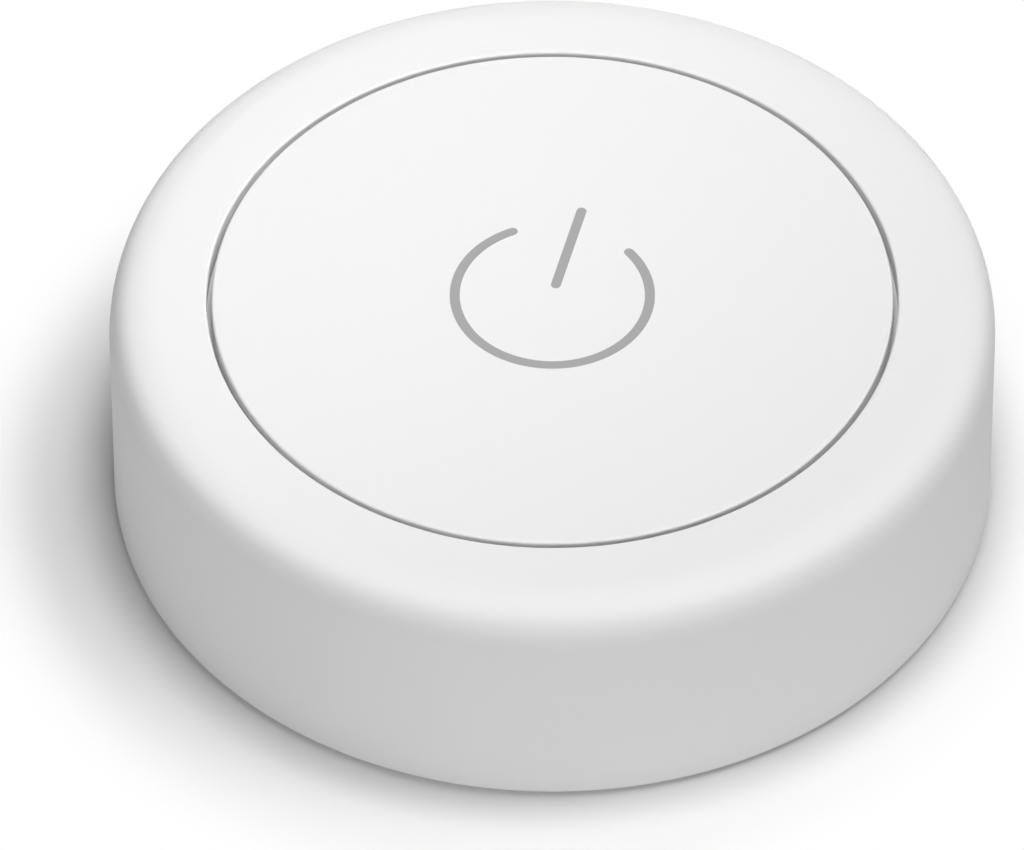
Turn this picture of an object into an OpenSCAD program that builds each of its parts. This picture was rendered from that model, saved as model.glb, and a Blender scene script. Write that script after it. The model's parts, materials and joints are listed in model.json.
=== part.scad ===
// Round wireless push button: a coin-cell puck with one large sprung cap.
// Millimetres, +Z up, origin on the axis at the face that rests on or sticks to a surface.
// Radii are built outwards from the coin cell and heights upwards from the resting face,
// so each size below can be changed by itself and its neighbours follow.

/* [Coin cell] */
// Diameter of the coin cell
cell_d = 20; // [16:0.5:24]
// Thickness of the coin cell
cell_t = 3.2; // [2.5:0.1:5]
// Sheet thickness of the cell's can and cap
cell_sheet = 0.25; // [0.2:0.05:0.3]
// Width of the can's crimped lip
crimp_w = 0.75; // [0.6:0.05:1]
// Height of the cell's cap above the crimped lip
crimp_drop = 0.4; // [0.3:0.05:0.5]
// Rounding of the can's bottom edge
can_r = 0.5; // [0.3:0.05:0.6]

/* [Battery lid] */
// Gap between the surface below and the shell's lower edge
foot_gap = 0.15; // [0.1:0.05:0.4]
// Thickness of the lid's disc
lid_t = 1.15; // [1:0.05:1.6]
// Thickness of the lid under its seal
seal_floor = 0.55; // [0.4:0.05:0.8]
// Wall of the lid's spigot
spigot_w = 0.9; // [0.7:0.05:1.2]
// How far each bayonet lug stands out from the spigot
lug_reach = 0.75; // [0.5:0.05:1]
// Thickness of each bayonet lug
lug_t = 0.6; // [0.4:0.05:0.9]
// Angle that each bayonet lug covers
lug_angle = 24; // [16:1:28]
// Number of bayonet lugs
lug_count = 3; // [2:1:4]
// Turn from locked to free
twist = 30; // [29:1:34]
// Length of the coin slot
slot_l = 9; // [7:0.5:11]
// Width of the coin slot
slot_w = 1.6; // [1.2:0.1:2.2]
// Depth of the coin slot
slot_deep = 0.6; // [0.4:0.05:0.7]

/* [Seal, cushion and adhesive] */
// Section diameter of the lid's seal ring
seal_d = 0.9; // [0.7:0.05:1.1]
// Thickness of the foam cushion under the cell
cushion_t = 0.3; // [0.2:0.05:0.6]
// Diameter of the foam cushion
cushion_d = 12; // [8:0.5:16]
// Thickness of the adhesive pad
pad_t = 0.5; // [0.45:0.05:0.7]
// Margin round the adhesive pad
pad_margin = 0.8; // [0.5:0.1:1.5]

/* [Battery carrier] */
// Thickness of the ledge that the lugs lock over
ledge_t = 0.55; // [0.4:0.05:0.8]
// Wall outside the lug tracks
carrier_wall = 1.2; // [0.9:0.05:1.6]
// Walls on both sides of the lightening pockets
pocket_wall = 0.8; // [0.6:0.05:1]
// Floor under the lightening pockets
pocket_floor = 0.6; // [0.4:0.05:1]
// Reach of each snap hook
snap_reach = 0.35; // [0.2:0.05:0.5]
// Height of each snap hook
snap_h = 0.7; // [0.5:0.05:0.9]
// Angle that each snap hook covers
snap_angle = 20; // [12:1:30]
// Diameter of the board's locating pins
pin_d = 1; // [0.8:0.05:1.3]

/* [Board] */
// Gap between the cell and the board, where the contacts sit
contact_gap = 0.4; // [0.35:0.05:0.7]
// Thickness of the circuit board
board_t = 0.6; // [0.4:0.1:1]
// Sheet thickness of the battery contacts
contact_sheet = 0.12; // [0.08:0.01:0.15]
// Width of the battery contacts
contact_w = 3.2; // [2.4:0.1:3.4]
// Thickness of the insulating film under the board
film_t = 0.08; // [0.05:0.01:0.12]
// Side of the radio chip
chip_w = 5; // [4:0.5:6]
// Height of the radio chip
chip_h = 0.75; // [0.5:0.05:0.85]
// Gap between parts on the board
part_gap = 0.7; // [0.5:0.05:0.8]

/* [Tactile switch] */
// Side of the switch
switch_w = 5.2; // [4.6:0.1:6]
// Floor of the switch base
switch_floor = 0.25; // [0.2:0.05:0.4]
// Sheet thickness of the switch frame
frame_t = 0.15; // [0.1:0.01:0.2]
// Sheet thickness of the snap dome
dome_t = 0.06; // [0.05:0.01:0.08]
// Diameter of the snap dome
dome_d = 3.8; // [3.2:0.1:4]
// Diameter of the plunger's stem
stem_d = 2.1; // [1.6:0.1:2.4]
// Thickness of the plunger's collar
collar_t = 0.2; // [0.15:0.05:0.3]

/* [Button cap] */
// Diameter of the cap
cap_d = 23.03; // [20:0.01:25]
// Thickness of the cap's plate
cap_t = 1; // [0.8:0.05:1.4]
// Gap round the cap
cap_gap = 0.18; // [0.1:0.02:0.4]
// Travel of the cap when it is pressed
cap_travel = 0.3; // [0.2:0.05:0.5]
// Wall at the cap's edge, below the plate
cap_wall = 0.85; // [0.6:0.05:1.2]
// Overlap of the cap's flange under the shell's lip
flange_overlap = 0.65; // [0.4:0.05:0.9]
// Thickness of the cap's flange
flange_t = 0.6; // [0.4:0.05:0.7]
// Height of the boss that presses the switch
boss_h = 0.2; // [0.15:0.05:0.5]
// Diameter of the boss that presses the switch
boss_d = 4; // [3:0.1:6]
// Thickness of the silicone membrane
membrane_t = 0.3; // [0.2:0.05:0.4]

/* [Shell] */
// Side wall of the shell
wall = 1.7; // [1.4:0.05:2.4]
// Thickness of the lip round the cap
lip_t = 0.9; // [0.75:0.05:1.1]
// Width of the membrane's rim that the shell clamps
clamp_w = 0.7; // [0.5:0.05:1.2]
// Radius of the top edge's middle arc, the tightest of its three
edge_r = 0.95; // [0.6:0.05:1.1]
// Radius of the arc that eases the top edge into the top face
edge_top_r = 2.6; // [1.3:0.1:3.6]
// Radius of the arc that eases the top edge into the side
edge_side_r = 2.1; // [1.3:0.1:2.6]
// Rounding of the shell's lower edge
foot_r = 0.06; // [0.04:0.02:0.3]
// Rounding of the two edges at the gap round the cap
gap_edge_r = 0.09; // [0.03:0.01:0.12]

/* [Fits] */
// Radial clearance of the cell in its pocket
cell_clear = 0.2; // [0.1:0.05:0.3]
// Clearance round the lugs and the spigot
lug_clear = 0.15; // [0.08:0.01:0.2]
// Radial clearance of the inner parts in the shell
fit_clear = 0.1; // [0.05:0.01:0.15]
// Radial gap between the lid and the shell
lid_gap = 0.15; // [0.1:0.01:0.25]
// Radial clearance of the cap's flange
flange_clear = 0.2; // [0.12:0.01:0.3]
// Gap left at faces that press on each other
touch = 0.02; // [0.01:0.005:0.04]

/* [Hidden] */
$fn = 96;
// Overlap that makes cuts and unions clean
eps = 0.01;

// Heights, from the resting face up
lid_top_z = foot_gap + lid_t;
cell_z = lid_top_z + cushion_t;
cell_top_z = cell_z + cell_t;
board_z = cell_top_z + contact_gap;
board_top_z = board_z + board_t;
// The plunger keeps this much of its stem above the frame at full travel
stem_spare = 0.05;
dome_rise = cap_travel + stem_spare;
stem_out = cap_travel + stem_spare;
switch_base_h = switch_floor + dome_rise + collar_t + touch;
switch_h = switch_base_h + frame_t + stem_out;
plunger_top_z = board_top_z + switch_h;
membrane_top_z = plunger_top_z + membrane_t;
cap_under_z = membrane_top_z + boss_h;
body_h = cap_under_z + cap_t;
lip_z = body_h - lip_t;
flange_top_z = lip_z - touch;
flange_z = flange_top_z - flange_t;
// Room under the flange at full travel, for the folded membrane
skirt_room = 0.15;
shoulder_z = flange_z - cap_travel - skirt_room;

// Heights of the bayonet
seal_z = foot_gap + seal_floor;
carrier_z = seal_z + seal_d;
ledge_top_z = carrier_z + ledge_t;
lug_z = ledge_top_z + lug_clear;
lug_top_z = lug_z + lug_t;
track_top_z = lug_top_z + lug_clear;
snap_z = track_top_z + pocket_floor / 2;

// Radii, from the coin cell out
cell_r = cell_d / 2;
pocket_r = cell_r + cell_clear;
spigot_r = pocket_r + spigot_w;
lug_r = spigot_r + lug_reach;
bore_r = spigot_r + lug_clear;
track_r = lug_r + lug_clear;
cap_r = cap_d / 2;
opening_r = cap_r + cap_gap;
flange_r = opening_r + flange_overlap;
shoulder_r = flange_r + flange_clear;
shell_in_r = max(track_r + carrier_wall + fit_clear, shoulder_r + clamp_w);
body_r = shell_in_r + wall;
inner_r = shell_in_r - fit_clear;
lid_r = shell_in_r - lid_gap;
seal_ring_r = inner_r - seal_d / 2;
rebate_r = seal_ring_r - seal_d / 2 - fit_clear / 2;
pad_out_r = rebate_r - pad_margin;
pad_in_r = slot_l / 2 + pad_margin;
pin_ring_r = (pocket_r + inner_r) / 2;
cap_wall_r = cap_r - cap_wall;
// The three arcs of the top edge meet where its face has these slopes, and the edge takes this room
top_turn = 20;
side_turn = 64;
top_ease = edge_top_r - edge_r;
side_ease = edge_side_r - edge_r;
edge_w = top_ease * sin(top_turn) + edge_r + side_ease * (1 - sin(side_turn));
edge_h = top_ease * (1 - cos(top_turn)) + edge_r + side_ease * cos(side_turn);
// Radius where the membrane bends down to pass below the cap's flange
knee_r = cap_wall_r - flange_clear;

// Angles of what repeats round the axis
rib_count = 6;
rib_angle = 20;
snap_count = 3;
snap_start = 30;
contact_angle = 180;
pin_angles = [60, 240];
lug_start = 48;
track_spare = 2;
mark_angle = -90;
mark_r = 0.5;
mark_deep = 0.2;

// Small parts of the board: length, width and height
crystal_size = [2, 1.6, 0.5];
clock_size = [1.5, 3.2, 0.7];
antenna_size = [3.2, 1.6, 0.8];
led_size = [0.8, 1.6, 0.5];
reservoir_size = [1.6, 3.2, 0.8];
coil_size = [0.8, 1.6, 0.7];
small_chip_size = [0.5, 1.0, 0.45];
capacitor_count = 6;
resistor_count = 4;
coil_count = 2;

// Colours
shell_white = [0.93, 0.93, 0.93];
lid_white = [0.9, 0.9, 0.9];
seal_grey = [0.55, 0.56, 0.58];
carrier_grey = [0.25, 0.26, 0.28];
steel = [0.75, 0.76, 0.78];
board_green = [0.08, 0.3, 0.2];
part_black = [0.08, 0.08, 0.09];
ceramic_tan = [0.72, 0.62, 0.5];
tin = [0.8, 0.8, 0.8];

// Rectangle of a turned section, from radius r0 to r1 and height z0 to z1
module band(r0, r1, z0, z1) {
    translate([r0, z0]) square([r1 - r0, z1 - z0]);
}

// What a round of radius r takes off a section's corner at [x, z]; side and up point to the corner
module corner_waste(x, z, r, side, up) {
    translate([x, z]) mirror([side < 0 ? 1 : 0, 0]) mirror([0, up < 0 ? 1 : 0]) difference() {
        translate([-r, -r]) square(r + eps);
        translate([-r, -r]) circle(r);
    }
}

// Sector of a turned section that starts at an angle and covers another
module sector(start, angle) {
    rotate([0, 0, start]) rotate_extrude(angle = angle) children();
}

// Copies of the children, evenly spaced round the axis
module around(count, start = 0) {
    for (i = [0 : count - 1]) rotate([0, 0, start + i * 360 / count]) children();
}

// Small round mark sunk into a face that looks down, at a radius and an angle
module sunk_mark(r, angle) {
    rotate([0, 0, angle]) translate([r, 0, foot_gap - mark_r + mark_deep]) sphere(mark_r);
}

// Block that stands on a height, centred on x and y
module block(size, z) {
    translate([-size[0] / 2, -size[1] / 2, z]) cube(size);
}

// Surface-mounted part along Y: a body between two slightly larger metal ends
module chip_part(size) {
    end_l = size[1] / 5;
    end_step = 0.02;
    block([size[0] - 2 * end_step, size[1], size[2] - end_step], board_top_z);
    for (s = [-1, 1]) translate([0, s * (size[1] - end_l) / 2, 0])
        block([size[0], end_l, size[2]], board_top_z);
}

module outer_shell() {
    color(shell_white) difference() {
        rotate_extrude() difference() {
            union() {
                band(opening_r, body_r - edge_w, lip_z, body_h);
                band(shoulder_r, body_r - edge_w, shoulder_z, body_h);
                band(shoulder_r, body_r, shoulder_z, body_h - edge_h);
                band(shell_in_r, body_r, foot_gap, body_h - edge_h);
                top_edge();
            }
            corner_waste(body_r, foot_gap, foot_r, 1, -1);
            corner_waste(opening_r, body_h, gap_edge_r, -1, 1);
        }
        around(snap_count, snap_start) snap_pocket();
        for (turn = [0, -twist]) sunk_mark((shell_in_r + body_r) / 2, mark_angle + turn);
    }
}

// Section of the shell's top edge: a tight arc that eases into the top and the side with larger ones
module top_edge() {
    spare = 1;
    wall_turn = 90;
    top_centre = [body_r - edge_w, body_h - edge_top_r];
    side_centre = [body_r - edge_side_r, body_h - edge_h];
    intersection() {
        band(body_r - edge_w - eps, body_r, body_h - edge_h - eps, body_h);
        union() {
            translate(top_centre) edge_fan(edge_top_r, -spare, top_turn);
            translate(top_centre + top_ease * [sin(top_turn), cos(top_turn)]) circle(edge_r);
            translate(side_centre) edge_fan(edge_side_r, side_turn, wall_turn + spare);
        }
    }
}

// Part of a round section between two angles from the vertical
module edge_fan(r, start, end) {
    reach = 2 * r;
    intersection() {
        circle(r);
        polygon([
            [0, 0], reach * [sin(start), cos(start)], reach * [sin(end), cos(end)]
        ]);
    }
}

// Pocket in the shell's wall that a snap hook clicks into
module snap_pocket() {
    spare = 1;
    sector(-snap_angle / 2 - spare, snap_angle + 2 * spare)
        band(shell_in_r - eps, inner_r + snap_reach + fit_clear, snap_z - touch, snap_z + snap_h + fit_clear);
}

module button_cap() {
    color(shell_white) rotate_extrude() difference() {
        union() {
            band(0, cap_r, cap_under_z, body_h);
            band(cap_wall_r, cap_r, flange_z, body_h);
            band(cap_wall_r, flange_r, flange_z, flange_top_z);
            band(0, boss_d / 2, membrane_top_z + touch, body_h);
        }
        corner_waste(cap_r, body_h, gap_edge_r, 1, 1);
    }
}

// Silicone sheet over the board: a thick clamped rim, a folding skirt and a flat middle
module cap_membrane() {
    knee_z = flange_z - 2 * touch;
    web_r = knee_r - (membrane_top_z - knee_z);
    slant = membrane_t / 3;
    color(seal_grey) rotate_extrude() polygon([
        [0, membrane_top_z], [web_r, membrane_top_z], [knee_r, knee_z],
        [shoulder_r, shoulder_z], [inner_r, shoulder_z],
        [inner_r, board_top_z], [shoulder_r - membrane_t, board_top_z],
        [shoulder_r - membrane_t, shoulder_z - membrane_t / 2], [knee_r - slant, knee_z - membrane_t],
        [web_r - slant, membrane_top_z - membrane_t], [0, membrane_top_z - membrane_t]
    ]);
}

module circuit_board() {
    color(board_green) difference() {
        translate([0, 0, board_z]) cylinder(h = board_t, r = inner_r);
        for (a = pin_angles) rotate([0, 0, a]) translate([pin_ring_r, 0, board_z - eps])
            cylinder(h = board_t + 2 * eps, d = pin_d + fit_clear);
    }
}

module switch_base() {
    cavity_r = dome_d / 2 + fit_clear;
    color(part_black) difference() {
        block([switch_w, switch_w, switch_base_h], board_top_z);
        translate([0, 0, board_top_z + switch_floor]) cylinder(h = switch_base_h, r = cavity_r);
    }
}

// Four solder tabs beside the switch base
module switch_terminals() {
    tab = [0.7, 0.9, 0.12];
    color(tin) for (sx = [-1, 1], sy = [-1, 1])
        translate([sx * (switch_w + tab[0]) / 2, sy * switch_w / 3, 0]) block(tab, board_top_z);
}

// Snap dome: a thin spherical cap that flattens when it is pressed
module switch_dome() {
    dome_r = dome_d / 2;
    rise = dome_rise - touch;
    sphere_r = (dome_r * dome_r + rise * rise) / (2 * rise);
    floor_z = board_top_z + switch_floor;
    color(steel) rotate_extrude() intersection() {
        translate([0, floor_z + rise - sphere_r]) difference() {
            circle(sphere_r);
            circle(sphere_r - dome_t);
        }
        band(0, dome_r, floor_z, floor_z + rise + eps);
    }
}

module switch_plunger() {
    collar_z = board_top_z + switch_floor + dome_rise;
    collar_step = 0.4;
    collar_r = stem_d / 2 + collar_step;
    color("black") rotate_extrude() {
        band(0, collar_r, collar_z, collar_z + collar_t);
        band(0, stem_d / 2, collar_z, plunger_top_z - touch);
    }
}

// Pressed steel cover that holds the plunger in, with two side legs
module switch_frame() {
    leg_l = switch_w / 2;
    leg_h = switch_base_h * 0.7;
    frame_z = board_top_z + switch_base_h;
    color(steel) difference() {
        union() {
            block([switch_w, switch_w + 2 * frame_t, frame_t], frame_z);
            for (s = [-1, 1]) translate([0, s * (switch_w + frame_t) / 2, 0])
                block([leg_l, frame_t, leg_h + frame_t], frame_z - leg_h);
        }
        translate([0, 0, frame_z - eps]) cylinder(h = frame_t + 2 * eps, d = stem_d + fit_clear);
    }
}

// Places on the board: the chip above the switch, its crystals beside it, small parts in rows
chip_y = switch_w / 2 + 2 * part_gap + chip_w / 2;
beside_chip_x = chip_w / 2 + part_gap;
beside_switch_x = switch_w / 2 + 2 * part_gap;
row_y = -(switch_w / 2 + part_gap + small_chip_size[1]);
antenna_y = row_y - small_chip_size[1] / 2 - part_gap - antenna_size[1] / 2;
row_pitch = small_chip_size[0] + part_gap;

// Square radio chip with a sunk mark at its first corner
module radio_chip() {
    dot_d = 0.5;
    dot_in = 0.8;
    dot_deep = 0.05;
    color(part_black) translate([0, chip_y, 0]) difference() {
        block([chip_w, chip_w, chip_h], board_top_z);
        translate([dot_in - chip_w / 2, chip_w / 2 - dot_in, board_top_z + chip_h - dot_deep])
            cylinder(h = 1, d = dot_d);
    }
}

// Crystal in a ceramic tray with a metal lid
module crystal(size) {
    lid_in = 0.1;
    tray_h = size[2] * 0.6;
    block([size[0], size[1], tray_h], board_top_z);
    block([size[0] - 2 * lid_in, size[1] - 2 * lid_in, size[2]], board_top_z);
}

module main_crystal() {
    color(steel) translate([beside_chip_x + crystal_size[0] / 2, chip_y, 0]) crystal(crystal_size);
}

module clock_crystal() {
    color(steel) translate([-beside_chip_x - clock_size[0] / 2, chip_y, 0]) crystal(clock_size);
}

module chip_antenna() {
    color(ceramic_tan) translate([0, antenna_y, 0]) rotate([0, 0, 90])
        chip_part([antenna_size[1], antenna_size[0], antenna_size[2]]);
}

module status_led() {
    color("ivory") translate([-beside_switch_x - led_size[0] / 2, 0, 0]) chip_part(led_size);
}

module reservoir_capacitor() {
    color(ceramic_tan) translate([beside_switch_x + reservoir_size[0] / 2, 0, 0]) chip_part(reservoir_size);
}

// Row of capacitors between the switch and the antenna
module ceramic_capacitors() {
    color(ceramic_tan) for (i = [0 : capacitor_count - 1])
        translate([(i - (capacitor_count - 1) / 2) * row_pitch, row_y, 0]) chip_part(small_chip_size);
}

// Column of resistors beyond the lamp
module chip_resistors() {
    column_x = -beside_switch_x - led_size[0] - part_gap - small_chip_size[1] / 2;
    color(part_black) for (i = [0 : resistor_count - 1])
        translate([column_x, (i - (resistor_count - 1) / 2) * row_pitch, 0]) rotate([0, 0, 90])
            chip_part(small_chip_size);
}

// Two supply coils beyond the reservoir capacitor
module chip_inductors() {
    column_x = beside_switch_x + reservoir_size[0] + part_gap + coil_size[0] / 2;
    coil_pitch = coil_size[1] + part_gap;
    color(part_black) for (i = [0 : coil_count - 1])
        translate([column_x, (i - (coil_count - 1) / 2) * coil_pitch, 0]) chip_part(coil_size);
}

// Size of the leaf that presses on the cell's cap: its soldered foot and its springing arm
leaf_foot_l = 2.5;
leaf_arm_l = 5;

// Thin disc that keeps the cell off the board, with a window for the leaf contact
module insulating_film() {
    window_spare = 0.5;
    color("goldenrod") difference() {
        translate([0, 0, board_z - film_t]) cylinder(h = film_t, r = cell_r - crimp_w);
        translate([-leaf_arm_l / 2 - window_spare, -contact_w / 2 - window_spare, board_z - film_t - eps])
            cube([leaf_arm_l + leaf_foot_l + 2 * window_spare, contact_w + 2 * window_spare, film_t + 2 * eps]);
    }
}

// Leaf spring soldered under the board that presses on the cell's cap
module negative_contact() {
    tip_z = cell_top_z + touch;
    bend_x = leaf_arm_l / 2;
    color(steel) rotate([90, 0, 0]) linear_extrude(contact_w, center = true) polygon([
        [bend_x + leaf_foot_l, board_z], [bend_x, board_z], [-bend_x, tip_z + contact_sheet],
        [-bend_x, tip_z], [bend_x, board_z - contact_sheet], [bend_x + leaf_foot_l, board_z - contact_sheet]
    ]);
}

contact_foot_l = 0.9;
contact_leg_z = track_top_z + pocket_floor / 2;

// Angle strip soldered under the board that presses on the side of the can
module positive_contact() {
    leg_x = cell_r + touch;
    color(steel) rotate([0, 0, contact_angle]) rotate([90, 0, 0]) linear_extrude(contact_w, center = true)
        polygon([
            [leg_x, board_z], [leg_x, contact_leg_z], [leg_x + contact_sheet, contact_leg_z],
            [leg_x + contact_sheet, board_z - contact_sheet],
            [leg_x + contact_foot_l, board_z - contact_sheet], [leg_x + contact_foot_l, board_z]
        ]);
}

// Cell sizes shared by its four pieces
can_top_z = cell_top_z - crimp_drop;
can_in_r = cell_r - cell_sheet;
gasket_w = 0.25;
cell_cap_r = cell_r - crimp_w - gasket_w;
cell_cap_h = cell_t / 2;

module cell_can() {
    color(steel) rotate_extrude() difference() {
        union() {
            band(0, cell_r, cell_z, cell_z + cell_sheet);
            band(can_in_r, cell_r, cell_z, can_top_z);
            band(cell_r - crimp_w, cell_r, can_top_z - cell_sheet, can_top_z);
        }
        corner_waste(cell_r, cell_z, can_r, 1, -1);
        corner_waste(cell_r, can_top_z, can_r / 2, 1, 1);
    }
}

// Plastic ring that keeps the can and the cap apart
module cell_gasket() {
    flange_low_z = can_top_z - cell_sheet - gasket_w;
    color("dimgray") rotate_extrude() {
        band(cell_cap_r, cell_r - crimp_w, flange_low_z, can_top_z + gasket_w / 2);
        band(cell_cap_r, can_in_r, flange_low_z, flange_low_z + gasket_w);
    }
}

module cell_cap() {
    color(steel) rotate_extrude() difference() {
        union() {
            band(0, cell_cap_r, cell_top_z - cell_sheet, cell_top_z);
            band(cell_cap_r - cell_sheet, cell_cap_r, cell_top_z - cell_cap_h, cell_top_z);
        }
        corner_waste(cell_cap_r, cell_top_z, cell_sheet, 1, 1);
    }
}

// Electrodes and separator that fill the sealed cell
module cell_core() {
    low_z = cell_z + cell_sheet;
    color(part_black) rotate_extrude() {
        band(0, can_in_r - can_r, low_z, cell_top_z - cell_cap_h);
        band(0, cell_cap_r - cell_sheet, low_z, cell_top_z - cell_sheet);
    }
}

// Ring that holds the cell, carries the board and locks the lid
module battery_carrier() {
    color(carrier_grey) {
        difference() {
            rotate_extrude() {
                band(bore_r, inner_r, carrier_z, track_top_z);
                band(pocket_r, inner_r, track_top_z, board_z);
            }
            around(lug_count, lug_start) lug_track();
            around(rib_count, rib_angle / 2) sector(0, 360 / rib_count - rib_angle)
                band(pocket_r + pocket_wall, inner_r - pocket_wall, track_top_z + pocket_floor, board_z + eps);
            rotate([0, 0, contact_angle]) contact_recess();
        }
        for (a = pin_angles) rotate([0, 0, a]) translate([pin_ring_r, 0, board_z - eps])
            cylinder(h = board_t + eps - touch, d = pin_d);
        around(snap_count, snap_start) snap_hook();
    }
}

// Path of one bayonet lug: in through the ledge, then round above it
module lug_track() {
    sector(-twist - track_spare, lug_angle + twist + 2 * track_spare)
        band(bore_r - eps, track_r, ledge_top_z, track_top_z);
    sector(-twist - track_spare, lug_angle + 2 * track_spare)
        band(bore_r - eps, track_r, carrier_z - eps, ledge_top_z + eps);
}

// Room in the cell pocket for the side contact
module contact_recess() {
    recess_w = contact_w + 2 * fit_clear;
    recess_l = cell_clear + contact_foot_l + fit_clear;
    translate([pocket_r - cell_clear, -recess_w / 2, contact_leg_z - fit_clear])
        cube([recess_l, recess_w, board_z - contact_leg_z + fit_clear + eps]);
}

// Wedge on the carrier's side: flat below, ramped above
module snap_hook() {
    sector(-snap_angle / 2, snap_angle) polygon([
        [inner_r - eps, snap_z], [inner_r + snap_reach, snap_z], [inner_r - eps, snap_z + snap_h]
    ]);
}

module battery_lid() {
    pad_recess = pad_t - foot_gap;
    color(lid_white) difference() {
        union() {
            rotate_extrude() {
                band(0, lid_r, foot_gap, seal_z);
                band(0, rebate_r, foot_gap, lid_top_z);
                band(pocket_r, spigot_r, lid_top_z - eps, lug_top_z);
            }
            around(lug_count, lug_start) sector(0, lug_angle)
                band(spigot_r - eps, lug_r, lug_z, lug_top_z);
        }
        rotate_extrude() band(pad_in_r - fit_clear, pad_out_r + fit_clear, foot_gap - eps, foot_gap + pad_recess);
        coin_slot();
        sunk_mark((pad_out_r + lid_r) / 2, mark_angle);
    }
}

// Round-ended slot for a coin
module coin_slot() {
    half = (slot_l - slot_w) / 2;
    translate([0, 0, foot_gap - eps]) {
        translate([-half, -slot_w / 2, 0]) cube([2 * half, slot_w, slot_deep + eps]);
        for (s = [-1, 1]) translate([s * half, 0, 0]) cylinder(h = slot_deep + eps, d = slot_w);
    }
}

module lid_seal() {
    color(seal_grey) rotate_extrude() translate([seal_ring_r, seal_z + (seal_d - touch) / 2])
        circle((seal_d - touch) / 2);
}

module lid_cushion() {
    color(part_black) translate([0, 0, lid_top_z]) cylinder(h = cushion_t - touch, d = cushion_d);
}

module adhesive_pad() {
    color(seal_grey) rotate_extrude() band(pad_in_r, pad_out_r, 0, pad_t);
}

outer_shell();
button_cap();
cap_membrane();
circuit_board();
switch_base();
switch_terminals();
switch_dome();
switch_plunger();
switch_frame();
radio_chip();
main_crystal();
clock_crystal();
chip_antenna();
status_led();
ceramic_capacitors();
chip_resistors();
chip_inductors();
reservoir_capacitor();
insulating_film();
negative_contact();
positive_contact();
cell_can();
cell_gasket();
cell_cap();
cell_core();
battery_carrier();
battery_lid();
lid_seal();
lid_cushion();
adhesive_pad();
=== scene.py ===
"""Looks of a round wireless push button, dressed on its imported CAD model.

The button rests on the floor at z = 0, and the camera looks from the -Y side.
Sizes are millimetres and become metres in the meshes.
"""

import json
import math

import bmesh
import bpy
from mathutils import Matrix, Vector


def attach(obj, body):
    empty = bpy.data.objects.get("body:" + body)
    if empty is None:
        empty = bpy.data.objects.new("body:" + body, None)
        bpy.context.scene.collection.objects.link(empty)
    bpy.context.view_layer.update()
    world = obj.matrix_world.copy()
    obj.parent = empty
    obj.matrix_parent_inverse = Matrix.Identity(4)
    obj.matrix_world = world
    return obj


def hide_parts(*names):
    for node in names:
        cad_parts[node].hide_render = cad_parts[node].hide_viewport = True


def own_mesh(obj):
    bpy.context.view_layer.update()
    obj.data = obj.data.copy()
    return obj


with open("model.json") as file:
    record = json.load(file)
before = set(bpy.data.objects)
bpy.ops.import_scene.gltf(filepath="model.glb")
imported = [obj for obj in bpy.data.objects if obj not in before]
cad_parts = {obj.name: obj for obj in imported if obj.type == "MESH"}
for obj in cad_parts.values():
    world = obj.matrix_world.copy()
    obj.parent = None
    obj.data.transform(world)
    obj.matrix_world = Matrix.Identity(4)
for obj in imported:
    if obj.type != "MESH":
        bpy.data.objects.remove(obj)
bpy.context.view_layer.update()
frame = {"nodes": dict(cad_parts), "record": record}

MM = 0.001

# Shell
BODY_R = 15.0
BODY_H = 8.62
FOOT_Z = 0.15
FOOT_ROUND = 0.06
EDGE_TOP_R = 2.6
EDGE_R = 0.95
EDGE_SIDE_R = 2.1
EDGE_TURNS = (20, 64)
SHELL_IN_R = 13.3
SHOULDER_R = 12.545
SHOULDER_Z = 6.65
LIP_Z = 7.72
OPENING_R = 11.695
GAP_ROUND = 0.09

# Button cap and the mark printed on it
CAP_R = 11.515
CAP_UNDER_Z = 7.62
CAP_WALL_R = 10.665
FLANGE_R = 12.345
FLANGE_Z = 7.1
FLANGE_TOP_Z = 7.7
BOSS_R = 2.0
BOSS_Z = 7.44
MARK_R = 3.3
MARK_STROKE = 0.34
MARK_OPENING = 38
MARK_BAR = (0.5, 4.1)
MARK_TURN = -14
INK_T = 0.01

# Membrane and snap dome under the cap
BOARD_TOP_Z = 5.8
MEMBRANE_TOP_Z = 7.42
MEMBRANE_T = 0.3
MEMBRANE_FOLD = (10.105, 10.465, 7.06)
INNER_R = 13.2
DOME_FLOOR_Z = 6.05
DOME_R = 1.9
DOME_RISE = 0.33
DOME_T = 0.06

# Battery lid, its foam cushion and the adhesive pad
LID_R = 13.15
LID_TOP_Z = 1.3
REBATE_R = 12.25
SEAL_Z = 0.7
SPIGOT_IN_R = 10.2
SPIGOT_R = 11.1
LUG_R = 11.85
LUG_Z = (2.3, 2.9)
LUG_ANGLES = (48, 168, 288)
LUG_SWEEP = 24
LUG_ROOT = 0.2
PAD_IN_R = 5.3
PAD_OUT_R = 11.45
PAD_T = 0.5
PAD_GAP = 0.1
SLOT_L = 9.0
SLOT_W = 1.6
SLOT_DEEP = 0.6
SLOT_BORDER = 0.2
CUSHION_R = 6.0
CUSHION_TOP_Z = 1.58
DOT_R = 0.5
DOT_DEEP = 0.2
SHELL_DOT_RING = 14.15
LID_DOT_RING = 12.3
DOT_ANGLES = (-90, -120)

# Roundings of the edges that hardly show
FINE_ROUND = 0.05
SOFT_ROUND = 0.1
FOLD_ROUND = 0.2
SHOULDER_ROUND = 0.3
LID_ROUND = 0.12
SLOT_ROUND = 0.08
PAD_ROUND = 0.04
CUSHION_ROUND = 0.03

# Fineness of the meshes
TURNS = 288
ARC_STEPS = 8
EDGE_STEPS = 12
LUG_STEPS = 24
DOT_STEPS = (48, 32)
HOLD = 0.03
SHARP = math.radians(35)


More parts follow.
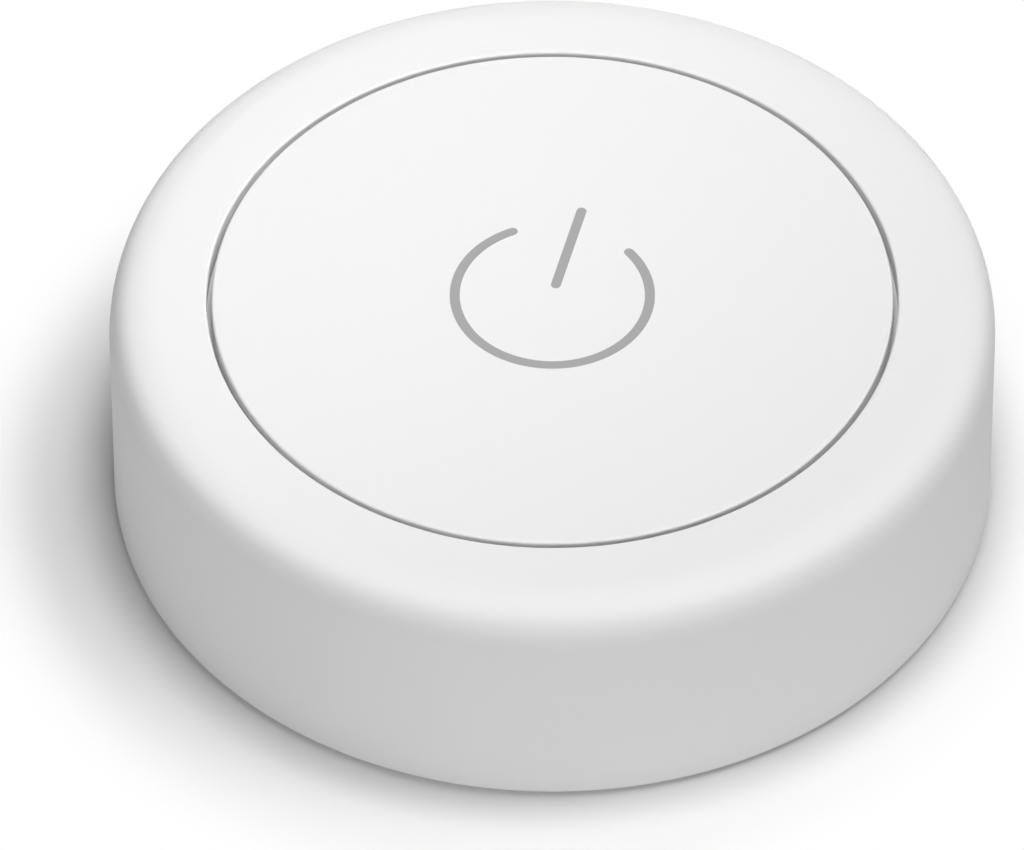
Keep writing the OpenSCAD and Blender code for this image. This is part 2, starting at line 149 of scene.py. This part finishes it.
def arc(centre, radius, start, end, steps=EDGE_STEPS):
    """Corners without rounding along an arc, with angles in degrees."""
    turns = [math.radians(start + (end - start) * k / steps) for k in range(steps + 1)]
    return [(centre[0] + radius * math.cos(a), centre[1] + radius * math.sin(a), 0) for a in turns]


def rounded(corners, closed=True):
    """Section points from corners (radius, height, rounding); each rounding becomes an arc."""
    section = []
    for index, (radius, height, rounding) in enumerate(corners):
        corner = Vector((radius, height))
        if not rounding:
            section.append(corner)
            continue
        before = corners[index - 1]
        after = corners[(index + 1) % len(corners)]
        to_before = (Vector(before[:2]) - corner).normalized()
        to_after = (Vector(after[:2]) - corner).normalized()
        half = to_before.angle(to_after) / 2
        middle = corner + (to_before + to_after).normalized() * rounding / math.sin(half)
        start = corner + to_before * rounding / math.tan(half) - middle
        sweep = start.angle_signed(corner + to_after * rounding / math.tan(half) - middle)
        for k in range(ARC_STEPS + 1):
            section.append(middle + Matrix.Rotation(-sweep * k / ARC_STEPS, 2) @ start)
    return held(section, closed)


def held(section, closed):
    """The section with a point close to both ends of each long line, so that flat faces shade flat."""
    points = []
    following = section[1:] + section[:1] if closed else section[1:]
    for point, after in zip(section, following):
        points.append(point)
        step = after - point
        if step.length > 4 * HOLD:
            points += [point + step.normalized() * HOLD, after - step.normalized() * HOLD]
    return points if closed else points + [section[-1]]


def circle(radius, height):
    """Ring of points round the axis, or the one point on it."""
    if radius < 1e-6:
        return [Vector((0, 0, height))]
    angles = [math.tau * (k + 0.5) / TURNS for k in range(TURNS)]
    return [Vector((radius * math.cos(a), radius * math.sin(a), height)) for a in angles]


def slot_outline(half_width, height):
    """Ring of points along the coin slot's round-ended outline."""
    half = (SLOT_L - SLOT_W) / 2
    return [Vector((p.x + math.copysign(half, p.x), p.y, height)) for p in circle(half_width, height)]


def skin(name, rings, closed):
    """Object whose surface runs over the rings in order, and from the last to the first if closed."""
    made = bmesh.new()
    loops = [[made.verts.new(p * MM) for p in ring] for ring in rings]
    following = loops[1:] + loops[:1] if closed else loops[1:]
    for ring, after in zip(loops, following):
        for k in range(TURNS):
            n = (k + 1) % TURNS
            if len(ring) == 1:
                made.faces.new((ring[0], after[k], after[n]))
            elif len(after) == 1:
                made.faces.new((ring[n], ring[k], after[0]))
            else:
                made.faces.new((ring[n], ring[k], after[k], after[n]))
    if not closed and len(loops[-1]) > 1:
        made.faces.new(loops[-1])
    bmesh.ops.recalc_face_normals(made, faces=made.faces[:])
    return finished(name, made)


def finished(name, made):
    """Object from a bmesh, smooth apart from its real edges."""
    mesh = bpy.data.meshes.new(name)
    made.to_mesh(mesh)
    made.free()
    mesh.shade_smooth()
    mesh.set_sharp_from_angle(angle=SHARP)
    piece = bpy.data.objects.new(name, mesh)
    bpy.context.scene.collection.objects.link(piece)
    return piece


def turned(name, corners, closed=True):
    """Object turned round the axis from the corners of its section."""
    return skin(name, [circle(*point) for point in rounded(corners, closed)], closed)


def sink_dots(piece, ring_r, angles):
    """Cut small round dots into the piece's lower face."""
    for angle in angles:
        cutter_mesh = bmesh.new()
        bmesh.ops.create_uvsphere(cutter_mesh, u_segments=DOT_STEPS[0], v_segments=DOT_STEPS[1],
                                  radius=DOT_R * MM)
        cutter = finished("dot_cutter", cutter_mesh)
        a = math.radians(angle)
        height = FOOT_Z + DOT_DEEP - DOT_R
        cutter.location = Vector((ring_r * math.cos(a), ring_r * math.sin(a), height)) * MM
        cut = piece.modifiers.new("dot", "BOOLEAN")
        cut.operation = "DIFFERENCE"
        cut.solver = "EXACT"
        cut.object = cutter
        shape = piece.evaluated_get(bpy.context.evaluated_depsgraph_get())
        piece.data = bpy.data.meshes.new_from_object(shape)
        piece.modifiers.clear()
        bpy.data.objects.remove(cutter)
    piece.data.shade_smooth()
    piece.data.set_sharp_from_angle(angle=SHARP)


def make_shell():
    """Outer shell; its top edge is a tight arc that eases into the top and the side with larger ones."""
    top_turn, side_turn = (math.radians(turn) for turn in EDGE_TURNS)
    top_ease = EDGE_TOP_R - EDGE_R
    side_ease = EDGE_SIDE_R - EDGE_R
    edge_w = top_ease * math.sin(top_turn) + EDGE_R + side_ease * (1 - math.sin(side_turn))
    edge_h = top_ease * (1 - math.cos(top_turn)) + EDGE_R + side_ease * math.cos(side_turn)
    top_centre = Vector((BODY_R - edge_w, BODY_H - EDGE_TOP_R))
    middle = top_centre + top_ease * Vector((math.sin(top_turn), math.cos(top_turn)))
    shell = turned("shell_moulding", [
        (OPENING_R, BODY_H, GAP_ROUND),
        *arc(top_centre, EDGE_TOP_R, 90, 90 - EDGE_TURNS[0]),
        *arc(middle, EDGE_R, 90 - EDGE_TURNS[0], 90 - EDGE_TURNS[1])[1:],
        *arc((BODY_R - EDGE_SIDE_R, BODY_H - edge_h), EDGE_SIDE_R, 90 - EDGE_TURNS[1], 0)[1:],
        (BODY_R, FOOT_Z, FOOT_ROUND),
        (SHELL_IN_R, FOOT_Z, FOOT_ROUND),
        (SHELL_IN_R, SHOULDER_Z, 0),
        (SHOULDER_R, SHOULDER_Z, 0),
        (SHOULDER_R, LIP_Z, 0),
        (OPENING_R, LIP_Z, FINE_ROUND),
    ])
    sink_dots(shell, SHELL_DOT_RING, DOT_ANGLES)
    return shell


def make_cap():
    """Button cap with the flange that keeps it in and the boss that presses the switch."""
    return turned("cap_moulding", [
        (0, BODY_H, 0),
        (CAP_R, BODY_H, GAP_ROUND),
        (CAP_R, FLANGE_TOP_Z, FINE_ROUND),
        (FLANGE_R, FLANGE_TOP_Z, FINE_ROUND),
        (FLANGE_R, FLANGE_Z, FINE_ROUND),
        (CAP_WALL_R, FLANGE_Z, FINE_ROUND),
        (CAP_WALL_R, CAP_UNDER_Z, SOFT_ROUND),
        (BOSS_R, CAP_UNDER_Z, FINE_ROUND),
        (BOSS_R, BOSS_Z, FINE_ROUND),
        (0, BOSS_Z, 0),
    ], closed=False)


def stroke(made, path):
    """Add one printed stroke with round ends along a flat path to the bmesh."""
    half = MARK_STROKE / 2
    sides = [[], []]
    for index, point in enumerate(path):
        along = path[min(index + 1, len(path) - 1)] - path[max(index - 1, 0)]
        across = along.normalized().orthogonal() * half
        sides[0].append(point + across)
        sides[1].append(point - across)
    outline = sides[0] + round_end(path[-1], path[-1] - path[-2], half)
    outline += sides[1][::-1] + round_end(path[0], path[0] - path[1], half)
    face = made.faces.new([made.verts.new(Vector((*p, BODY_H)) * MM) for p in outline])
    wall = bmesh.ops.extrude_face_region(made, geom=[face])
    lifted = [v for v in wall["geom"] if isinstance(v, bmesh.types.BMVert)]
    bmesh.ops.translate(made, verts=lifted, vec=(0, 0, INK_T * MM))


def round_end(point, outward, radius):
    """Points of a half circle round a stroke's end."""
    start = outward.normalized().orthogonal() * radius
    return [point + Matrix.Rotation(-math.pi * k / ARC_STEPS, 2) @ start for k in range(1, ARC_STEPS)]


def make_mark():
    """Plain standby sign printed on the cap: an open ring and a bar."""
    made = bmesh.new()
    turn = Matrix.Rotation(math.radians(MARK_TURN), 2)
    ring = arc((0, 0), MARK_R, 90 + MARK_OPENING, 450 - MARK_OPENING, 6 * EDGE_STEPS)
    bar = [Vector((0, height)) for height in MARK_BAR]
    stroke(made, [turn @ Vector(corner[:2]) for corner in ring])
    stroke(made, [turn @ point for point in bar])
    bmesh.ops.triangulate(made, faces=[f for f in made.faces if len(f.verts) > 4])
    bmesh.ops.recalc_face_normals(made, faces=made.faces[:])
    return finished("cap_mark", made)


def make_membrane():
    """Silicone sheet over the board, built at rest with the fold in its section where it gives when the
    cap goes down.
    """
    web_r, knee_r, knee_z = MEMBRANE_FOLD
    slant = MEMBRANE_T / 3
    under_z = MEMBRANE_TOP_Z - MEMBRANE_T
    return turned("membrane_sheet", [
        (0, MEMBRANE_TOP_Z, 0),
        (web_r, MEMBRANE_TOP_Z, FOLD_ROUND),
        (knee_r, knee_z, FOLD_ROUND),
        (SHOULDER_R, SHOULDER_Z, SHOULDER_ROUND),
        (INNER_R, SHOULDER_Z, FINE_ROUND),
        (INNER_R, BOARD_TOP_Z, FINE_ROUND),
        (SHOULDER_R - MEMBRANE_T, BOARD_TOP_Z, FINE_ROUND),
        (SHOULDER_R - MEMBRANE_T, SHOULDER_Z - MEMBRANE_T / 2, SOFT_ROUND),
        (knee_r - slant, knee_z - MEMBRANE_T, SOFT_ROUND),
        (web_r - slant, under_z, SOFT_ROUND),
        (0, under_z, 0),
    ], closed=False)


def make_dome():
    """Thin steel snap dome of the switch."""
    ball_r = (DOME_R ** 2 + DOME_RISE ** 2) / (2 * DOME_RISE)
    centre = (0, DOME_FLOOR_Z + DOME_RISE - ball_r)
    edge = math.degrees(math.asin((DOME_FLOOR_Z - centre[1]) / ball_r))
    inner_edge = math.degrees(math.asin((DOME_FLOOR_Z - centre[1]) / (ball_r - DOME_T)))
    return turned("snap_dome", [
        *arc(centre, ball_r, 90, edge),
        *arc(centre, ball_r - DOME_T, inner_edge, 90),
    ], closed=False)


def make_lid():
    """Battery lid with its spigot, lugs, pad recess and coin slot."""
    top = rounded([
        (0, LID_TOP_Z, 0),
        (SPIGOT_IN_R, LID_TOP_Z, SOFT_ROUND),
        (SPIGOT_IN_R, LUG_Z[1], SOFT_ROUND),
        (SPIGOT_R, LUG_Z[1], SOFT_ROUND),
        (SPIGOT_R, LID_TOP_Z, SOFT_ROUND),
        (REBATE_R, LID_TOP_Z, SOFT_ROUND),
        (REBATE_R, SEAL_Z, FINE_ROUND),
        (LID_R, SEAL_Z, FINE_ROUND),
        (LID_R, FOOT_Z, LID_ROUND),
        (PAD_OUT_R + PAD_GAP, FOOT_Z, FINE_ROUND),
        (PAD_OUT_R + PAD_GAP, PAD_T, FINE_ROUND),
        (PAD_IN_R - PAD_GAP, PAD_T, FINE_ROUND),
        (PAD_IN_R - PAD_GAP, FOOT_Z, FINE_ROUND),
        (SLOT_L / 2 + PAD_GAP, FOOT_Z, 0),
    ], closed=False)
    half_w = SLOT_W / 2
    deep_z = FOOT_Z + SLOT_DEEP
    slot = rounded([
        (half_w + SLOT_BORDER, FOOT_Z, 0),
        (half_w, FOOT_Z, SLOT_ROUND),
        (half_w, deep_z, SOFT_ROUND),
        (half_w - SLOT_BORDER, deep_z, 0),
    ], closed=False)
    rings = [circle(*point) for point in top[:-1]] + [slot_outline(*point) for point in slot[1:]]
    lid = skin("lid_moulding", rings, closed=False)
    sink_dots(lid, LID_DOT_RING, DOT_ANGLES[:1])
    return lid


def make_lug(angle):
    """One bayonet lug of the lid's spigot."""
    made = bmesh.new()
    root_r = SPIGOT_R - LUG_ROOT
    section = [(root_r, LUG_Z[0]), (LUG_R, LUG_Z[0]), (LUG_R, LUG_Z[1]), (root_r, LUG_Z[1])]
    rows = []
    for k in range(LUG_STEPS + 1):
        a = math.radians(angle + LUG_SWEEP * k / LUG_STEPS)
        points = [Vector((r * math.cos(a), r * math.sin(a), z)) * MM for r, z in section]
        rows.append([made.verts.new(point) for point in points])
    for row, after in zip(rows, rows[1:]):
        for k in range(4):
            made.faces.new((row[k], row[(k + 1) % 4], after[(k + 1) % 4], after[k]))
    made.faces.new(rows[0])
    made.faces.new(rows[-1])
    bmesh.ops.recalc_face_normals(made, faces=made.faces[:])
    return finished(f"lid_lug_{angle}", made)


def make_pad():
    """Adhesive ring that the button is stuck down with."""
    return turned("pad_ring", [
        (PAD_IN_R, PAD_T, PAD_ROUND),
        (PAD_OUT_R, PAD_T, PAD_ROUND),
        (PAD_OUT_R, 0, PAD_ROUND),
        (PAD_IN_R, 0, PAD_ROUND),
    ])


def make_cushion():
    """Foam disc between the lid and the cell."""
    return turned("foam_disc", [
        (0, CUSHION_TOP_Z, 0),
        (CUSHION_R, CUSHION_TOP_Z, SOFT_ROUND),
        (CUSHION_R, LID_TOP_Z, CUSHION_ROUND),
        (0, LID_TOP_Z, 0),
    ], closed=False)


# Materials

# Sizes of the mottle and of the changes in roughness, in grains
MOTTLE_GRAINS = 12
SHEEN_GRAINS = 4

finishes = {}


def surface(slot, colour, roughness, metallic=0.0, grain=0.3, depth=0.001, mottle=0.02, spread=0.05,
            stretch=(1, 1, 1), gloss=0.5):
    """Procedural finish of a material slot: mottled colour, uneven roughness and a fine grain."""
    material = bpy.data.materials.new(slot)
    material.use_nodes = True
    nodes = material.node_tree.nodes
    links = material.node_tree.links
    shader = nodes["Principled BSDF"]
    shader.inputs["Metallic"].default_value = metallic
    shader.inputs["Specular IOR Level"].default_value = gloss
    place = nodes.new("ShaderNodeTexCoord")
    lay = nodes.new("ShaderNodeMapping")
    lay.inputs["Scale"].default_value = stretch
    links.new(place.outputs["Object"], lay.inputs["Vector"])

    def noise(size, detail):
        node = nodes.new("ShaderNodeTexNoise")
        node.inputs["Scale"].default_value = 1 / (size * MM)
        node.inputs["Detail"].default_value = detail
        links.new(lay.outputs["Vector"], node.inputs["Vector"])
        return node.outputs["Fac"]

    tone = nodes.new("ShaderNodeValToRGB")
    for stop, share in zip(tone.color_ramp.elements, (1 - mottle, 1)):
        stop.color = (*[channel * share for channel in colour], 1)
    links.new(noise(MOTTLE_GRAINS * grain, 3), tone.inputs["Fac"])
    links.new(tone.outputs["Color"], shader.inputs["Base Color"])
    sheen = nodes.new("ShaderNodeMapRange")
    sheen.inputs["To Min"].default_value = roughness - spread
    sheen.inputs["To Max"].default_value = roughness + spread
    links.new(noise(SHEEN_GRAINS * grain, 2), sheen.inputs["Value"])
    links.new(sheen.outputs["Result"], shader.inputs["Roughness"])
    relief = nodes.new("ShaderNodeBump")
    relief.inputs["Distance"].default_value = depth * MM
    links.new(noise(grain, 2), relief.inputs["Height"])
    links.new(relief.outputs["Normal"], shader.inputs["Normal"])
    finishes[slot] = material


# Finishes by material slot
WHITE = 0.9
FINE_MATT = {"roughness": 0.7, "grain": 0.12, "depth": 0.0008, "mottle": 0.006, "gloss": 0.25}
surface("shell_white", (WHITE,) * 3, **FINE_MATT)
surface("cap_white", (WHITE,) * 3, **FINE_MATT)
surface("lid_white", (0.86,) * 3, 0.5, grain=0.15, depth=0.002, mottle=0.01)
surface("silicone_grey", (0.5, 0.51, 0.53), 0.6, grain=0.2, depth=0.002, mottle=0.04)
surface("seal_grey", (0.3, 0.31, 0.33), 0.55, grain=0.15, depth=0.002, mottle=0.05)
surface("board_green", (0.04, 0.2, 0.12), 0.35, grain=0.4, depth=0.004, mottle=0.25)
surface("switch_black", (0.03, 0.03, 0.03), 0.5, grain=0.1, depth=0.002, mottle=0.1)
surface("chip_black", (0.025, 0.025, 0.03), 0.55, grain=0.08, depth=0.003, mottle=0.15)
surface("chip_ceramic", (0.5, 0.38, 0.25), 0.45, grain=0.1, depth=0.002, mottle=0.1)
surface("lamp_ivory", (0.85, 0.8, 0.62), 0.25, grain=0.2, depth=0.001, mottle=0.03)
surface("film_amber", (0.6, 0.33, 0.05), 0.2, grain=0.6, depth=0.002, mottle=0.08)
surface("tinned_metal", (0.7, 0.7, 0.71), 0.35, metallic=1.0, grain=0.1, depth=0.002, mottle=0.06)
surface("spring_steel", (0.62, 0.62, 0.64), 0.3, metallic=1.0, grain=0.1, depth=0.001, mottle=0.06,
        stretch=(0.08, 1, 1))
surface("cell_steel", (0.65, 0.65, 0.67), 0.28, metallic=1.0, grain=0.12, depth=0.001, mottle=0.05,
        stretch=(0.08, 1, 1))
surface("gasket_grey", (0.2, 0.2, 0.22), 0.5, grain=0.15, depth=0.002, mottle=0.05)
surface("cell_filling", (0.06, 0.06, 0.065), 0.8, grain=0.1, depth=0.01, mottle=0.2)
surface("carrier_grey", (0.12, 0.125, 0.135), 0.5, grain=0.15, depth=0.003, mottle=0.06)
surface("foam_black", (0.04, 0.04, 0.04), 0.9, grain=0.15, depth=0.05, mottle=0.3)
surface("adhesive_grey", (0.62, 0.63, 0.65), 0.6, grain=0.25, depth=0.01, mottle=0.05)
surface("mark_ink", (0.37,) * 3, 0.5, grain=0.1, depth=0.0008, mottle=0.03)


def dress(piece, slot, body, *nodes):
    """Give a piece its finish and its body, and let it stand for CAD nodes."""
    piece.data.materials.clear()
    piece.data.materials.append(finishes[slot])
    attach(piece, body)
    if nodes:
        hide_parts(*nodes)


for subpart in frame["record"]["subparts"]:
    node = frame["nodes"][subpart["node"]]
    node.data.materials.clear()
    node.data.materials.append(finishes[subpart["material_slot"]])

dress(make_shell(), "shell_white", "housing", "outer_shell")
dress(make_cap(), "cap_white", "button", "button_cap")
dress(make_lid(), "lid_white", "lid", "battery_lid")
pad = make_pad()
dress(pad, "adhesive_grey", "lid", "adhesive_pad")
cushion = make_cushion()
dress(cushion, "foam_black", "lid", "lid_cushion")
for lug_angle in LUG_ANGLES:
    dress(make_lug(lug_angle), "lid_white", "lid")

mark = make_mark()
mark.data.materials.append(finishes["mark_ink"])
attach(mark, "button")

membrane = make_membrane()
dress(membrane, "silicone_grey", "housing", "cap_membrane")
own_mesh(membrane)
dome = make_dome()
dress(dome, "spring_steel", "housing", "switch_dome")
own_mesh(dome)


# Camera, as the button is seen in a 1024 x 850 picture

CAMERA_ELEVATION = 46.376
CAMERA_DISTANCE = 450.0
CAMERA_LENS = 461.7
CAMERA_SENSOR = 36
CAMERA_NEAR = 10
AIM_RIGHT = -1.3815
AIM_UP = 1.575


def make_camera():
    """Camera turned from the middle of the button's foot to the middle of the picture."""
    elevation = math.radians(CAMERA_ELEVATION)
    back = Vector((0, -math.cos(elevation), math.sin(elevation)))
    lens = bpy.data.cameras.new("camera")
    lens.sensor_width = CAMERA_SENSOR
    lens.lens = CAMERA_LENS
    lens.clip_start = CAMERA_NEAR * MM
    camera = bpy.data.objects.new("camera", lens)
    camera.location = back * CAMERA_DISTANCE * MM
    aim = Vector((0, 0, -1)).rotation_difference(Vector((AIM_RIGHT, AIM_UP, -CAMERA_DISTANCE)))
    camera.rotation_mode = "QUATERNION"
    camera.rotation_quaternion = (-back).to_track_quat("-Z", "Y") @ aim
    bpy.context.scene.collection.objects.link(camera)
    bpy.context.scene.camera = camera


# Floor and light

FLOOR_HALF = 1500
FLOOR_WHITE = 1.0
FLOOR_BOUNCE = 0.65
SHADOW_MIDDLE = (-1.26, -0.39)
SHADOW_REACH = (15.65, 19.78)


def seen_rays(nodes, links):
    """Output that is 1 for rays on which the white background shows: camera, glossy and transmission."""
    path = nodes.new("ShaderNodeLightPath")
    seen = path.outputs["Is Camera Ray"]
    for other in ("Is Glossy Ray", "Is Transmission Ray"):
        either = nodes.new("ShaderNodeMath")
        either.operation = "MAXIMUM"
        links.new(seen, either.inputs[0])
        links.new(path.outputs[other], either.inputs[1])
        seen = either.outputs["Value"]
    return seen


def make_floor():
    """White floor that keeps the shadow near the button and shows as plain white further out."""
    mesh = bpy.data.meshes.new("floor")
    corners = [(-1, -1), (1, -1), (1, 1), (-1, 1)]
    half = FLOOR_HALF * MM
    mesh.from_pydata([(x * half, y * half, 0) for x, y in corners], [], [(0, 1, 2, 3)])
    floor = bpy.data.objects.new("floor", mesh)
    bpy.context.scene.collection.objects.link(floor)
    material = bpy.data.materials.new("floor_white")
    material.use_nodes = True
    nodes = material.node_tree.nodes
    links = material.node_tree.links
    nodes.clear()

    def mixed(factor, first, second):
        node = nodes.new("ShaderNodeMixShader")
        links.new(factor, node.inputs["Fac"])
        links.new(first, node.inputs[1])
        links.new(second, node.inputs[2])
        return node.outputs["Shader"]

    def paper(level):
        node = nodes.new("ShaderNodeBsdfDiffuse")
        node.inputs["Color"].default_value = (level, level, level, 1)
        return node.outputs["BSDF"]

    place = nodes.new("ShaderNodeTexCoord")
    from_middle = nodes.new("ShaderNodeVectorMath")
    from_middle.operation = "SUBTRACT"
    from_middle.inputs[1].default_value = (SHADOW_MIDDLE[0] * MM, SHADOW_MIDDLE[1] * MM, 0)
    links.new(place.outputs["Object"], from_middle.inputs[0])
    away = nodes.new("ShaderNodeVectorMath")
    away.operation = "LENGTH"
    links.new(from_middle.outputs["Vector"], away.inputs["Vector"])
    fade = nodes.new("ShaderNodeMapRange")
    fade.interpolation_type = "SMOOTHSTEP"
    fade.inputs["From Min"].default_value = SHADOW_REACH[0] * MM
    fade.inputs["From Max"].default_value = SHADOW_REACH[1] * MM
    links.new(away.outputs["Value"], fade.inputs["Value"])
    white = nodes.new("ShaderNodeEmission")
    shown = mixed(fade.outputs["Result"], paper(FLOOR_WHITE), white.outputs["Emission"])
    output = nodes.new("ShaderNodeOutputMaterial")
    links.new(mixed(seen_rays(nodes, links), paper(FLOOR_BOUNCE), shown), output.inputs["Surface"])
    floor.data.materials.append(material)


def make_world():
    """White surroundings that show behind the floor and in reflections, and give no light of their own."""
    world = bpy.data.worlds.new("studio")
    bpy.context.scene.world = world
    world.use_nodes = True
    nodes = world.node_tree.nodes
    links = world.node_tree.links
    background = nodes["Background"]
    background.inputs["Color"].default_value = (1, 1, 1, 1)
    links.new(seen_rays(nodes, links), background.inputs["Strength"])


def softbox(name, azimuth, elevation, distance, size, level, aim=(0, 0), spread=180):
    """Round softbox; azimuth 0 is the camera's side and 90 the right.

    Level 1 shows a white face that is square to the full beam as white. The lamp looks at the floor at
    aim. A spread below 180 degrees narrows its beam as a grid does, and makes it brighter.
    """
    a = math.radians(azimuth)
    e = math.radians(elevation)
    towards = Vector((math.sin(a) * math.cos(e), -math.cos(a) * math.cos(e), math.sin(e)))
    light = bpy.data.lights.new(name, "AREA")
    light.shape = "DISK"
    light.size = size * MM
    light.energy = level * (math.pi * distance * MM) ** 2
    light.spread = math.radians(spread)
    lamp = bpy.data.objects.new(name, light)
    lamp.location = towards * distance * MM
    lamp.rotation_mode = "QUATERNION"
    look = Vector((*aim, 0)) * MM - lamp.location
    lamp.rotation_quaternion = look.to_track_quat("-Z", "Y")
    bpy.context.scene.collection.objects.link(lamp)


make_camera()
make_floor()
make_world()
softbox("front", azimuth=0, elevation=20, distance=220, size=130, level=0.226)
softbox("front_right", azimuth=50, elevation=20, distance=220, size=130, level=0.22)
softbox("front_left", azimuth=-60, elevation=20, distance=220, size=130, level=0.137)
softbox("near_left", azimuth=-60, elevation=42, distance=90, size=50, level=0.034)
softbox("overhead", azimuth=0, elevation=90, distance=120, size=30, level=0.349)
softbox("back", azimuth=150, elevation=50, distance=120, size=70, level=0.122)
softbox("back_low", azimuth=180, elevation=6, distance=200, size=30, level=0.115)
softbox("beam", azimuth=107, elevation=70, distance=160, size=80, level=0.0475,
        aim=(-38, 21), spread=50)

bpy.context.scene.view_settings.view_transform = "Standard"
